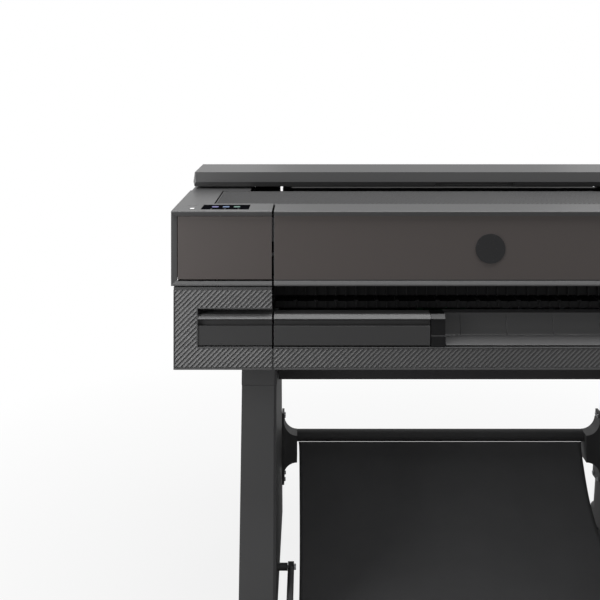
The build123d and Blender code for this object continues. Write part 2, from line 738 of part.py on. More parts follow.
carriage_x = (488.0, 592.0)
carriage_mid = middle(carriage_x)
carriage_profile = [(122, 912), (196, 912), (222, 950), (222, 1056), (150, 1056), (122, 1030)]
carriage = prism(carriage_profile, carriage_x)
carriage -= rod(grown(carriage_x, 1), *guide_axis, guide_radius + running)
arm_x_span = (carriage_mid - 15, carriage_mid + 15)
carriage += block(arm_x_span, (200, 221), (1050, belt_z[1] + 1))
carriage += block(arm_x_span, (200, pulley_depth - pulley_radius - belt_thick - 0.4), (1064, belt_z[1] + 1))
heads = []
head_pitch = 24.0
for step in range(4):
    low = carriage_x[0] + 6 + step * head_pitch
    heads.append(block((low, low + head_pitch - 4), (134, 190), (901.5, 911.8)))
save("carriage", carriage, *heads)

# Motors: one above the left pulley, one that drives the feed roller's gear
gear_module = 1.5
gear_teeth = 48
pinion_teeth = 12
gear_x = (-624.0, -614.0)
mesh_gap = 0.15
pinion_axis = (feed_axis[0], feed_axis[1] - gear_module * (gear_teeth + pinion_teeth) / 2 - mesh_gap)
motor_x = (-684.0, -632.0)
feed_shaft_radius = 3.0
scan_motor = post(-pulley_x, pulley_depth, (1081, 1106), 18)
scan_motor -= post(-pulley_x, pulley_depth, (1080, 1093), 2.5 + running)
feed_motor = rod(motor_x, *pinion_axis, 25)
feed_motor -= rod((motor_x[1] - 15, motor_x[1] + 1), *pinion_axis, feed_shaft_radius + running)
save("drive_motors", scan_motor, feed_motor)


def spur_gear(teeth, axis, x, turn):
    """A straight-toothed gear on an X axis. A tooth points down when turn is zero."""
    pitch_radius = gear_module * teeth / 2
    root = pitch_radius - 1.25 * gear_module
    tip = pitch_radius + 0.9 * gear_module
    points = []
    for tooth in range(teeth):
        for share, radius in ((-0.27, root), (-0.12, tip), (0.12, tip), (0.27, root)):
            angle = 2 * math.pi * (tooth + share) / teeth + math.radians(turn)
            points.append((radius * math.cos(angle), radius * math.sin(angle)))
    place = Pos(x[0], front_y + axis[0], axis[1]) * Rot(0, 90, 0)
    return place * extrude(Polygon(*points, align=None), x[1] - x[0])


feed_end = plate[1] + 8
feed_roller = rod((-560, 560), *feed_axis, feed_radius)
feed_roller += rod((gear_x[0], feed_end), *feed_axis, journal_radius)
feed_gear = spur_gear(gear_teeth, feed_axis, gear_x, 0)
feed_gear -= rod(grown(gear_x, 1), *feed_axis, journal_radius)
save("feed_roller", feed_roller)
save("feed_gear", feed_gear)

pinion = spur_gear(pinion_teeth, pinion_axis, gear_x, 180 / pinion_teeth)
pinion += rod((motor_x[1] - 12, gear_x[1]), *pinion_axis, feed_shaft_radius)
save("motor_pinion", pinion)

pinch_end = plate[1] + 4
pinch_rollers = rod((-pinch_end, pinch_end), *pinch_axis, pinch_shaft_radius)
roller_pitch = 94.0
for step in range(-4, 5):
    centre = step * roller_pitch
    pinch_rollers += rod((centre - 20, centre + 20), *pinch_axis, pinch_radius)
save("pinch_rollers", pinch_rollers)

# Paper path: platen, exit bar with its cutter, output ramp
platen_depth = (64.0, 238.0)
platen_z = (880.0, 898.0)
platen = block((-paper_half, paper_half), platen_depth, (platen_z[0], platen_z[1] - wall))
rib_pitch = 47.0
for step in range(-9, 10):
    centre = step * rib_pitch
    platen += block((centre - 4, centre + 4), platen_depth, (platen_z[1] - wall - 1, platen_z[1]))
# Short ribs down its front face
for step in range(-19, 20):
    centre = step * rib_pitch / 2
    rib_out = (platen_depth[0] - 4, platen_depth[0] + 1)
    platen += block((centre - 1.5, centre + 1.5), rib_out, (platen_z[0], platen_z[1] - wall))
save("platen", platen)

# Paper leaves under the bar, past a ribbed curtain
exit_x = paper_half + 4.0
exit_bar_depth = (78.0, 92.0)
exit_bar_z = (926.0, 942.0)
exit_bar = block((-plate_x + 0.2, plate_x - 0.2), exit_bar_depth, exit_bar_z)
curtain_z = (904.0, 930.0)
exit_bar += block((-exit_x, exit_x), (82, 88), curtain_z)
fin_pitch = rib_pitch / 2
for step in range(-19, 20):
    centre = step * fin_pitch
    exit_bar += block((centre - 1.2, centre + 1.2), (75, 83), curtain_z)
for side in both(block((exit_x - 3, exit_x), (70, 91.9), (platen_z[0], 931))):
    exit_bar += side
save("exit_bar", exit_bar)

# The cutter hooks over the bar's top and hangs behind it
cutter_x = (-598.0, -562.0)
hook = (exit_bar_depth[0] - 0.1, exit_bar_depth[1] + 0.1, exit_bar_z[1] + 0.1)
cutter_profile = [(74, 932), (hook[0], 932), (hook[0], hook[2]), (hook[1], hook[2]), (hook[1], 903)]
cutter_profile += [(112, 903), (112, 962), (74, 962)]
save("cutter", prism(cutter_profile, cutter_x))

ramp_x = (-84.0, window_half - 1)
ramp_lip = [(62.0, 877.0), (44.0, 874.0)]
ramp_edge = (30.0, 825.0)
ramp_foot = (5.0, 812.0)
ramp_sweep = math.radians(70)
ramp_steps = 12
ramp_line = list(ramp_lip)
for step in range(1, ramp_steps + 1):
    turn = ramp_sweep * step / ramp_steps
    run = (ramp_lip[1][0] - ramp_edge[0]) * (1 - math.cos(turn)) / (1 - math.cos(ramp_sweep))
    drop = (ramp_lip[1][1] - ramp_edge[1]) * math.sin(turn) / math.sin(ramp_sweep)
    ramp_line.append((ramp_lip[1][0] - run, ramp_lip[1][1] - drop))
ramp_line.append(ramp_foot)
ramp_under = [(depth + 3, z - 2.4) for depth, z in reversed(ramp_line)]
ramp = prism(ramp_line + ramp_under, ramp_x)
# Shallow grooves down the curve
groove_first = 59.3
groove_pitch = 106.4
groove_half = 1.3
groove_sink = 1.2
groove = [(depth + groove_sink, z) for depth, z in ramp_line[2:-1]]
groove += [(-5, groove[-1][1]), (-5, groove[0][1])]
for step in range(-1, 4):
    centre = groove_first + step * groove_pitch
    ramp -= prism(groove, (centre - groove_half, centre + groove_half))
save("output_ramp", ramp)

# Cut-sheet tray under the ledge
tray_x = (-window_half, -120.0)
end_cap_x = (-118.0, -86.0)
tray = block(tray_x, tray_face_depth, tray_face_z)
tray_end = 330.0
tray_box_x = (tray_x[0] + 6, tray_x[1] - 10)
tray_box = block(tray_box_x, (tray_face_depth[1] - 1, tray_end), (tray_face_z[0], tray_face_z[1] - 6))
tray_inside = (tray_face_depth[1] + 2, tray_end - wall)
tray_box -= block(grown(tray_box_x, -wall), tray_inside, (tray_face_z[0] + wall, tray_face_z[1] - 5))
save("sheet_tray", tray + tray_box)
save("tray_ledge", prism(ledge_profile, (-window_half, end_cap_x[0] - 0.5)))

cap_step = (832.5, 835.0)
cap_bottom = recess_z[0] + 0.5
cap_profile = [(0.5, cap_bottom), (0.5, cap_step[0]), (2.5, cap_step[1])]
cap_profile += [(2.5, ledge_front - 3), (0.5, ledge_front), (ledge_slope, ledge_top)]
cap_profile += [(recess_depth, ledge_top), (recess_depth, cap_bottom)]
end_cap = prism(cap_profile, end_cap_x)
save("tray_end_cap", end_cap)

# Service station under the parked carriage
station_x = (486.0, 598.0)
station = block(station_x, (122, 222), (780, 888))
station -= block((station_x[0] + wall, station_x[1] - wall), (125, 219), (830, 889))
station += block((station_x[0] + 20, station_x[0] + 50), (180, 216), (829, 884))
save("service_station", station)
sled = block((station_x[0] + 6, station_x[1] - 6), (128, 172), (888.4, 893))
for step in range(3):
    low = station_x[0] + 18 + step * 28
    sled += block((low, low + 18), (148, 150), (892, 899))
save("wiper_sled", sled)

# Ink, behind its door
cartridges = []
cartridge_pitch = 20.0
for step in range(5):
    low = -598.0 + step * cartridge_pitch
    cartridge = block((low, low + 17), (18, 104), (968, 1092))
    cartridges.append(fillet(cartridge.edges().filter_by(Axis.Y), 3))
save("ink_cartridges", *cartridges)

# Electronics on the base
board = block(board_x, board_depth, board_z)
for x, depth, height in ((-290, 400, 14), (-200, 440, 6), (-120, 400, 22), (-40, 470, 10)):
    board += block((x, x + 40), (depth, depth + 35), (board_z[1] - 0.5, board_z[1] + height))
save("main_board", board)
supply_x = (120.0, 400.0)
supply_depth = (360.0, 540.0)
supply = block(supply_x, supply_depth, (pan_z[1], 850))
supply -= block(grown(supply_x, -2), grown(supply_depth, -2), (pan_z[1] + 2, 848))
vent_pitch = 28.0
for step in range(8):
    low = supply_x[0] + 30 + step * vent_pitch
    supply -= block((low, low + vent_pitch / 2), (supply_depth[0] - 1, supply_depth[0] + 3), (785, 835))
save("power_supply", supply)
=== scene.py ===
"""Large format plotter: finishes, ribs, basket cloth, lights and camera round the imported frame. Metres."""

import json
import math

import bmesh
import bpy
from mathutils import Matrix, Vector, noise


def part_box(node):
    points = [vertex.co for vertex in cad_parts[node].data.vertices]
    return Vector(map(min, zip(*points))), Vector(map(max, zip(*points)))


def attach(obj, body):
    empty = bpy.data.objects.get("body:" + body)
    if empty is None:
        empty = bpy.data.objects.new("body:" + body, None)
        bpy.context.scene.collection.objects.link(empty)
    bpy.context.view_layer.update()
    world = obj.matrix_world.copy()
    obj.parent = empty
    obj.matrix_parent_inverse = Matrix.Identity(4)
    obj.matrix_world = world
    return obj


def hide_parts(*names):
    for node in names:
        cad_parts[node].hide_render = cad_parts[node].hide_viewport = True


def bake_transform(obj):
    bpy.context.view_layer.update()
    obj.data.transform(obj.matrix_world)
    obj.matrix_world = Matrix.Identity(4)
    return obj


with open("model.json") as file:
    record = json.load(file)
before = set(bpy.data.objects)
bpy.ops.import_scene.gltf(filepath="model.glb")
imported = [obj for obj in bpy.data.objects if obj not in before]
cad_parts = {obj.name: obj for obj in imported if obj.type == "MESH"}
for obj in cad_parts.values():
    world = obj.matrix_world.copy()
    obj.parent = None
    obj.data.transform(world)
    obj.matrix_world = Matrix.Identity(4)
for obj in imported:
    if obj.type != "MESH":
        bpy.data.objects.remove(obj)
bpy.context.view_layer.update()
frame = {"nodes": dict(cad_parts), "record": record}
nodes = frame["nodes"]
MM = 0.001


# ---------------------------------------------------------------- materials


class Graph:
    """A material's node tree, with short calls for the nodes that this scene uses."""

    def __init__(self, name):
        self.material = bpy.data.materials.new(name)
        self.material.use_nodes = True
        self.tree = self.material.node_tree
        self.tree.nodes.clear()
        self.output = self.node("ShaderNodeOutputMaterial")
        self.shader = self.node("ShaderNodeBsdfPrincipled")
        self.join(self.shader.outputs[0], self.output.inputs[0])
        self.place = self.node("ShaderNodeTexCoord").outputs["Object"]

    def node(self, kind, **settings):
        made = self.tree.nodes.new(kind)
        for key, value in settings.items():
            setattr(made, key, value)
        return made

    def join(self, source, target):
        if hasattr(source, "is_linked"):
            self.tree.links.new(source, target)
        else:
            target.default_value = source

    def set(self, name, value):
        self.join(value, self.shader.inputs[name])

    def noise(self, scale, detail=2.0, rough=0.5, stretch=None, where=None):
        made = self.node("ShaderNodeTexNoise")
        made.inputs["Scale"].default_value = scale
        made.inputs["Detail"].default_value = detail
        made.inputs["Roughness"].default_value = rough
        where = where or self.place
        if stretch:
            where = self.stretched(stretch, where)
        self.join(where, made.inputs["Vector"])
        return made.outputs["Fac"]

    def stretched(self, scale, where=None):
        made = self.node("ShaderNodeMapping")
        made.inputs["Scale"].default_value = scale
        self.join(where or self.place, made.inputs["Vector"])
        return made.outputs[0]

    def ramp(self, value, low, high, low_in=0.0, high_in=1.0):
        """Maps a value between low_in and high_in onto low to high."""
        made = self.node("ShaderNodeMapRange")
        for index, number in enumerate((low_in, high_in, low, high), start=1):
            self.join(number, made.inputs[index])
        self.join(value, made.inputs[0])
        return made.outputs[0]

    def math(self, operation, a, b=0.0):
        made = self.node("ShaderNodeMath", operation=operation)
        self.join(a, made.inputs[0])
        self.join(b, made.inputs[1])
        return made.outputs[0]

    def mix(self, share, a, b):
        made = self.node("ShaderNodeMix", data_type="RGBA")
        self.join(share, made.inputs[0])
        for index, colour in ((6, a), (7, b)):
            if isinstance(colour, (tuple, list)):
                colour = tuple(colour) + (1.0,)
            self.join(colour, made.inputs[index])
        return made.outputs[2]

    def bump(self, height, strength, distance, base=None):
        made = self.node("ShaderNodeBump")
        made.inputs["Strength"].default_value = strength
        made.inputs["Distance"].default_value = distance
        self.join(height, made.inputs["Height"])
        if base:
            self.join(base, made.inputs["Normal"])
        return made.outputs[0]

    def inside(self, low, high):
        """1 inside the box between two corners, 0 outside it."""
        split = self.node("ShaderNodeSeparateXYZ")
        self.join(self.place, split.inputs[0])
        within = 1.0
        for axis in range(3):
            above = self.math("GREATER_THAN", split.outputs[axis], low[axis])
            below = self.math("LESS_THAN", split.outputs[axis], high[axis])
            within = self.math("MULTIPLY", self.math("MULTIPLY", above, below), within)
        return within

    def scaled(self, value, factor):
        return self.math("MULTIPLY", value, factor)


def tinted(colour, factor):
    return tuple(channel * factor for channel in colour)


def moulded(name, colour, rough=0.42, grain=900.0, grain_depth=0.05, mottle=0.08, specular=0.5, edge=0.25,
            patches=()):
    """Moulded plastic: fine spark texture, slow colour drift and slightly polished, paler edges.

    Each patch is (low corner, high corner, colour): inside that box the plastic takes that colour; some
    patches are a second tone of the part, others painted shade and painted highlight.
    """
    g = Graph(name)
    drift = g.noise(3.0, 3.0)
    speck = g.noise(grain, 2.0, 0.6)
    base = g.mix(drift, tinted(colour, 1 - mottle), tinted(colour, 1 + mottle))
    for low, high, tint in patches:
        base = g.mix(g.inside(low, high), base, tint)
    bevel = g.node("ShaderNodeBevel", samples=3)
    bevel.inputs["Radius"].default_value = 1.2 * MM
    facing = g.node("ShaderNodeVectorMath", operation="DOT_PRODUCT")
    g.join(bevel.outputs[0], facing.inputs[0])
    g.join(g.node("ShaderNodeNewGeometry").outputs["Normal"], facing.inputs[1])
    # Paler colour at rounded edges: partly rubbed wear, partly a painted highlight for light catching the
    # edges.
    edge_wear_and_highlight = g.ramp(facing.outputs["Value"], edge, 0.0, 0.9, 0.995)
    rub_and_highlight = g.math("MULTIPLY", edge_wear_and_highlight, g.ramp(g.noise(40.0), 0.3, 1.0))
    g.set("Base Color", g.mix(rub_and_highlight, base, tinted(colour, 1.9)))
    g.set("Roughness", g.math("SUBTRACT", g.ramp(speck, rough - 0.05, rough + 0.07), g.scaled(rub_and_highlight, 0.2)))
    g.set("Specular IOR Level", specular)
    g.set("Normal", g.bump(speck, grain_depth, 0.3 * MM))
    return g.material


def powder_coat(name, colour, rough=0.45):
    """Powder-coated steel: fine orange peel over a faint broad ripple."""
    g = Graph(name)
    drift = g.noise(2.2, 3.0)
    peel = g.noise(650.0, 3.0, 0.55)
    ripple = g.noise(28.0, 2.0)
    g.set("Base Color", g.mix(drift, tinted(colour, 0.92), tinted(colour, 1.08)))
    g.set("Roughness", g.ramp(peel, rough - 0.06, rough + 0.08))
    g.set("Normal", g.bump(peel, 0.12, 0.3 * MM, g.bump(ripple, 0.03, 1.0 * MM)))
    return g.material


def brushed(name, colour, rough=0.32, along=(2.0, 160.0, 160.0)):
    """Bare metal with brushing drawn out along one axis."""
    g = Graph(name)
    streak = g.noise(9.0, 4.0, 0.6, stretch=along)
    g.set("Metallic", 1.0)
    g.set("Base Color", g.mix(streak, tinted(colour, 0.8), colour))
    g.set("Roughness", g.ramp(streak, rough - 0.08, rough + 0.14))
    g.set("Normal", g.bump(streak, 0.06, 0.2 * MM))
    return g.material


def zinc(name):
    """Zinc-plated sheet with a soft spangle."""
    g = Graph(name)
    cells = g.node("ShaderNodeTexVoronoi")
    cells.inputs["Scale"].default_value = 70.0
    g.join(g.place, cells.inputs["Vector"])
    g.set("Metallic", 1.0)
    g.set("Base Color", g.mix(cells.outputs["Distance"], (0.42, 0.44, 0.46), (0.62, 0.64, 0.66)))
    g.set("Roughness", g.ramp(g.noise(30.0), 0.34, 0.5))
    return g.material


def rubber(name, colour=(0.02, 0.02, 0.021)):
    g = Graph(name)
    grit = g.noise(520.0, 3.0, 0.7)
    g.set("Base Color", g.mix(g.noise(14.0), tinted(colour, 0.8), tinted(colour, 1.3)))
    g.set("Roughness", g.ramp(grit, 0.68, 0.88))
    g.set("Specular IOR Level", 0.3)
    g.set("Normal", g.bump(grit, 0.25, 0.4 * MM))
    return g.material


def glass_black(name):
    """Display glass with an anti-reflective coat, deep black with faint wipe marks."""
    g = Graph(name)
    smear = g.noise(18.0, 3.0, 0.6, stretch=(1.0, 4.0, 1.0))
    g.set("Base Color", g.mix(smear, (0.002, 0.002, 0.003), (0.004, 0.004, 0.005)))
    g.set("Roughness", g.ramp(smear, 0.08, 0.16))
    facing = g.node("ShaderNodeLayerWeight").outputs["Facing"]
    g.set("Specular IOR Level", g.ramp(facing, 0.3, 0.0, 0.2, 0.6))
    g.set("IOR", 1.3)
    g.set("Normal", g.bump(smear, 0.02, 0.2 * MM))
    return g.material


def lit_button(name, colour, centre, reach, strength):
    """A grey key with a lit patch of half size reach, (x, y), around its centre."""
    g = Graph(name)
    split = g.node("ShaderNodeSeparateXYZ")
    g.join(g.place, split.inputs[0])
    inside = []
    for axis in (0, 1):
        away = g.math("ABSOLUTE", g.math("SUBTRACT", split.outputs[axis], centre[axis]))
        inside.append(g.ramp(away, 1.0, 0.0, reach[axis] - 0.3 * MM, reach[axis] + 0.5 * MM))
    patch = g.math("MULTIPLY", inside[0], inside[1])
    speck = g.noise(900.0, 2.0, 0.6)
    g.set("Base Color", g.mix(speck, tinted(colour, 0.9), tinted(colour, 1.1)))
    g.set("Emission Color", g.mix(g.noise(400.0), (0.8, 0.8, 0.8), (1.0, 1.0, 1.0)))
    g.set("Emission Strength", g.scaled(patch, strength))
    g.set("Roughness", g.ramp(speck, 0.35, 0.47))
    g.set("Normal", g.bump(speck, 0.05, 0.3 * MM))
    return g.material


def glowing(name, colour, strength):
    """A lit mark with a slight unevenness."""
    g = Graph(name)
    g.set("Base Color", tinted(colour, 0.1) + (1.0,))
    g.set("Emission Color", g.mix(g.noise(400.0), tinted(colour, 0.8), colour))
    g.set("Emission Strength", strength)
    g.set("Roughness", g.ramp(g.noise(60.0), 0.25, 0.35))
    return g.material


def woven(name, colour):
    """Woven polyester: crossed threads in bump, colour and roughness."""
    g = Graph(name)
    waves = []
    for direction, scale in (("X", 900.0), ("Y", 900.0)):
        wave = g.node("ShaderNodeTexWave", bands_direction=direction)
        wave.inputs["Scale"].default_value = scale
        wave.inputs["Distortion"].default_value = 0.6
        g.join(g.place, wave.inputs["Vector"])
        waves.append(wave.outputs["Fac"])
    weave = g.math("MULTIPLY", waves[0], waves[1])
    drift = g.noise(6.0, 4.0, 0.6)
    shade = g.math("ADD", g.scaled(weave, 0.5), g.scaled(drift, 0.5))
    g.set("Base Color", g.mix(shade, tinted(colour, 0.7), tinted(colour, 1.35)))
    g.set("Roughness", g.ramp(weave, 0.72, 0.9))
    g.set("Sheen Weight", 0.12)
    g.set("Sheen Roughness", 0.5)
    g.set("Specular IOR Level", 0.25)
    g.set("Normal", g.bump(weave, 0.35, 0.35 * MM, g.bump(g.noise(9.0, 3.0), 0.08, 4.0 * MM)))
    return g.material


def circuit_board(name):
    """Solder mask with fine tracks."""
    g = Graph(name)
    bricks = g.node("ShaderNodeTexBrick")
    bricks.inputs["Scale"].default_value = 60.0
    g.join(g.place, bricks.inputs["Vector"])
    g.set("Base Color", g.mix(bricks.outputs["Fac"], (0.01, 0.09, 0.035), (0.03, 0.16, 0.07)))
    g.set("Roughness", g.ramp(g.noise(90.0), 0.25, 0.45))
    g.set("Normal", g.bump(bricks.outputs["Fac"], 0.3, 0.3 * MM))
    return g.material


front_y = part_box("end_module_left")[0][1]
COVER = (0.066, 0.066, 0.067)
PANEL = (0.070, 0.060, 0.057)

RECESS_X = 0.642
# Boxes of another colour, each as (low corner, high corner, colour); the recess box below is painted shade,
# darker cover grey in the tray recess under the ledge's overhang.
RECESS_SHADE = ((-RECESS_X, front_y - 1 * MM, 0.8095), (RECESS_X, front_y + 50 * MM, 0.8715), tinted(COVER, 0.55))
PANEL_FACE = ((-0.470, front_y + 4.5 * MM, 0.9586), (1.0, front_y + 9.6 * MM, 1.1021), PANEL)
# Painted highlight: the top face of the black end cap takes the paler cover grey, as if lit from above.
CAP_TOP_HIGHLIGHT = ((-0.119, front_y - 1 * MM, 0.8716), (-0.085, front_y + 12 * MM, 0.882), COVER)
# Painted highlight: the ramp's lower facet is painted paler than the rest of the ramp, for the overhead light
# falling on it.
FACET_HIGHLIGHT = ((-0.1, front_y, 0.80), (0.5, front_y + 29 * MM, 0.8247), tinted(COVER, 1.15))
FINE_GRAIN = {"grain": 1400.0, "grain_depth": 0.03}

finish = {
    "cover_grey": moulded("cover_grey", COVER, 0.40, patches=[RECESS_SHADE, PANEL_FACE]),
    "roll_cover_grey": moulded("roll_cover_grey", tinted(COVER, 0.95), 0.38),
    "panel_brown_grey": moulded("panel_brown_grey", PANEL, 0.45, mottle=0.04, **FINE_GRAIN),
    "window": moulded("window", COVER, 0.40, mottle=0.04, patches=[PANEL_FACE], **FINE_GRAIN),
    "ribbed_grey": moulded("ribbed_grey", COVER, 0.42, patches=[RECESS_SHADE]),
    # Black plastic, with the end cap's top face painted paler as a highlight.
    "black_plastic": moulded(
        "black_plastic", (0.0055, 0.0055, 0.006), 0.5, grain=600.0, specular=0.25, patches=[CAP_TOP_HIGHLIGHT]
    ),
    # Painted shade: the ramp is coloured darker than the cover, for the shade under the upper module's
    # overhang.
    "ramp_grey": moulded(
        "ramp_grey", (0.044, 0.044, 0.045), 0.34, grain=1600.0, grain_depth=0.02, mottle=0.03, patches=[FACET_HIGHLIGHT]
    ),
    "gloss_black": glass_black("gloss_black"),
    "emblem": moulded("emblem", (0.021, 0.021, 0.022), 0.24, grain=300.0, grain_depth=0.01),
    "stand_dark": powder_coat("stand_dark", (0.055, 0.055, 0.056)),
    "stand_tube": powder_coat("stand_tube", (0.042, 0.042, 0.043), 0.6),
    # Painted shade: a darker coat than the stand's, for the shadow that the body casts on the top rail.
    "rail_painted_shade": powder_coat("rail_painted_shade", (0.014, 0.014, 0.015), 0.6),
    "bracket_dark": powder_coat("bracket_dark", (0.048, 0.048, 0.049)),
    "steel": brushed("steel", (0.62, 0.63, 0.65)),
    "zinc_plate": zinc("zinc_plate"),
    "rail_aluminium": brushed("rail_aluminium", (0.70, 0.71, 0.73)),
    "rubber": rubber("rubber"),
    "wheel": moulded("wheel", (0.018, 0.018, 0.019), 0.5),
    "belt": rubber("belt", (0.03, 0.03, 0.03)),
    "fabric": woven("fabric", (0.092, 0.092, 0.095)),
    "gear_white": moulded("gear_white", (0.70, 0.69, 0.65), 0.4, mottle=0.03),
    "board_green": circuit_board("board_green"),
    "cartridge": moulded("cartridge", (0.05, 0.05, 0.055), 0.35),
}

key_low, key_high = (Vector(corner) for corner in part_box("power_button"))
key_mid = (key_low + key_high) / 2
KEY_PATCH = (4.5 * MM, 7.0 * MM)
finish["button_light"] = lit_button("button_light", COVER, key_mid, KEY_PATCH, 1.1)
slot_of = {entry["node"]: entry["material_slot"] for entry in frame["record"]["subparts"]}


# ---------------------------------------------------------------- mesh helpers


CREASE = 46.0


def crease_group():
    """A geometry-nodes group that marks each edge turning more than CREASE degrees as sharp."""
    group = bpy.data.node_groups.new("creases", "GeometryNodeTree")
    group.interface.new_socket("Geometry", in_out="INPUT", socket_type="NodeSocketGeometry")
    group.interface.new_socket("Geometry", in_out="OUTPUT", socket_type="NodeSocketGeometry")
    start = group.nodes.new("NodeGroupInput")
    end = group.nodes.new("NodeGroupOutput")
    turn = group.nodes.new("GeometryNodeInputMeshEdgeAngle")
    sharp = group.nodes.new("FunctionNodeCompare")
    sharp.operation = "GREATER_THAN"
    sharp.inputs[1].default_value = math.radians(CREASE)
    store = group.nodes.new("GeometryNodeStoreNamedAttribute")
    store.data_type = "BOOLEAN"
    store.domain = "EDGE"
    store.inputs["Name"].default_value = "sharp_edge"
    group.links.new(start.outputs[0], store.inputs["Geometry"])
    group.links.new(turn.outputs["Unsigned Angle"], sharp.inputs[0])
    group.links.new(sharp.outputs[0], next(s for s in store.inputs if s.name == "Value" and s.enabled))
    group.links.new(store.outputs[0], end.inputs[0])
    return group


creases = crease_group()


def soften(obj, width, segments=2, angle=30.0):
    """Rounds an object's sharp edges by width, with flat faces shaded flat."""
    weld = obj.modifiers.new("weld", "WELD")
    weld.merge_threshold = 0.005 * MM
    planar = obj.modifiers.new("planar", "DECIMATE")
    planar.decimate_type = "DISSOLVE"
    planar.angle_limit = math.radians(0.6)
    bevel = obj.modifiers.new("edges", "BEVEL")
    bevel.width = width
    bevel.segments = segments
    bevel.limit_method = "ANGLE"
    bevel.angle_limit = math.radians(angle)
    bevel.use_clamp_overlap = True
    crease = obj.modifiers.new("creases", "NODES")
    crease.node_group = creases
    level = obj.modifiers.new("level", "WEIGHTED_NORMAL")
    level.weight = 100
    level.keep_sharp = True
    for face in obj.data.polygons:
        face.use_smooth = True


def piece(name, bm, material, body, smooth=True):
    """A new object from a bmesh, riding on a body unless body is None."""
    mesh = bpy.data.meshes.new(name)
    bmesh.ops.remove_doubles(bm, verts=bm.verts, dist=0.002 * MM)
    bmesh.ops.recalc_face_normals(bm, faces=bm.faces)
    bm.to_mesh(mesh)
    bm.free()
    for face in mesh.polygons:
        face.use_smooth = smooth
    obj = bpy.data.objects.new(name, mesh)
    bpy.context.scene.collection.objects.link(obj)
    obj.data.materials.append(finish[material])
    if body:
        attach(obj, body)
    return obj


def size(node):
    low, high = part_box(node)
    return Vector(low), Vector(high)


# ---------------------------------------------------------------- CAD nodes

USUAL_EDGE = 0.4
edge_width = {
    "cover_grey": 0.7,
    "roll_cover_grey": 0.8,
    "panel_brown_grey": 0.6,
    "ribbed_grey": 0.3,
    "stand_dark": 1.2,
}
plain_edges = {"drive_belt", "guide_rod", "feed_roller", "main_board"}
own_finish = {
    "front_window": "window",
    "wake_button": "cover_grey",
    # The top rail takes the darker coat as painted shade under the body.
    "stand_top_rail": "rail_painted_shade",
    "brace_brackets": "bracket_dark",
}
for node, obj in nodes.items():
    slot = slot_of[node]
    obj.data.materials.clear()
    obj.data.materials.append(finish[own_finish.get(node, slot)])
    if node not in plain_edges:
        soften(obj, edge_width.get(slot, USUAL_EDGE) * MM)


# ---------------------------------------------------------------- diagonal ribs

RIB_PITCH = 11.2 * MM
# One rib as (share of the pitch, share of the depth): a long hollow, then a narrow crest
RIB_PROFILE = (
    (0.0, 0.0),
    (0.25, 0.03),
    (0.45, 0.13),
    (0.62, 0.32),
    (0.76, 0.58),
    (0.88, 0.86),
    (0.93, 1.0),
    (0.965, 0.9),
)
RIB_FADE = 1.6 * MM


def rib_sheet(name, corner, across, up, out, width, height, depth, body, fades=(True, True), back=0.4 * MM):
    """A closed sheet of diagonal ribs. Ribs climb towards +across, and their phase is global.

    corner is the sheet's low corner on the bed, across and up its directions, out the way the ribs stand.
    """
    bm = bmesh.new()
    rows = [0.0]
    if fades[0]:
        rows += [0.15 * MM, RIB_FADE, RIB_FADE + 0.4 * MM]
    if fades[1]:
        rows += [height - RIB_FADE - 0.4 * MM, height - RIB_FADE, height - 0.15 * MM]
    rows.append(height)
    start = corner.dot(across) - corner.dot(up)
    first = math.floor((start - height) / RIB_PITCH) - 1
    last = math.ceil((start + width) / RIB_PITCH) + 1
    columns = []
    for rib in range(first, last):
        columns += [((rib + share) * RIB_PITCH, lift) for share, lift in RIB_PROFILE]
    origin = corner - across * corner.dot(across) - up * corner.dot(up)
    base_up = corner.dot(up)

    def strength(row):
        low = 0.0 if fades[0] and row <= 0.15 * MM else 1.0
        high = 0.0 if fades[1] and row >= height - 0.15 * MM else 1.0
        return low * high

    grid = []
    for row in rows:
        line = []
        for phase, lift in columns:
            level = base_up + row
            spot = origin + across * (phase + level) + up * level + out * (lift * depth * strength(row))
            line.append(bm.verts.new(spot))
        grid.append(line)
    for lower, upper in zip(grid, grid[1:]):
        for index in range(len(columns) - 1):
            bm.faces.new((lower[index], lower[index + 1], upper[index + 1], upper[index]))
    # Trim to the sheet's ends, then give it a back so that it is closed
    for side, limit in ((-1, corner.dot(across)), (1, corner.dot(across) + width)):
        geometry = list(bm.verts) + list(bm.edges) + list(bm.faces)
        spot = origin + across * limit
        bmesh.ops.bisect_plane(bm, geom=geometry, plane_co=spot, plane_no=across * side, clear_outer=True)
    rim = [edge for edge in bm.edges if edge.is_boundary]
    skirt = bmesh.ops.extrude_edge_only(bm, edges=rim)["geom"]
    fresh = [item for item in skirt if isinstance(item, bmesh.types.BMVert)]
    floor = origin.dot(out) - back
    for vert in fresh:
        vert.co += out * (floor - vert.co.dot(out))
    loop = [item for item in skirt if isinstance(item, bmesh.types.BMEdge) and item.is_boundary]
    bmesh.ops.contextual_create(bm, geom=loop)
    obj = piece(name, bm, "ribbed_grey", body)
    crease = obj.modifiers.new("creases", "NODES")
    crease.node_group = creases
    return obj


RIGHT, BACK, UP = Vector((1, 0, 0)), Vector((0, 1, 0)), Vector((0, 0, 1))
RIB_DEPTH = 2.1 * MM
FOOT = 4.0 * MM
SHADOW = 6.0 * MM
TOP_RIB_DEPTH = 1.1 * MM
BORDER = 2.0 * MM
BED = 2.2 * MM
TOP_BED = 1.2 * MM
RECESS_HIGH = 0.895


def front_ribs(name, x, z, body, fades=(True, True)):
    front = size("lower_front_strip")[0].y + BED
    corner = Vector((x[0], front, z[0]))
    return rib_sheet(name, corner, RIGHT, UP, -BACK, x[1] - x[0], z[1] - z[0], RIB_DEPTH, body, fades)


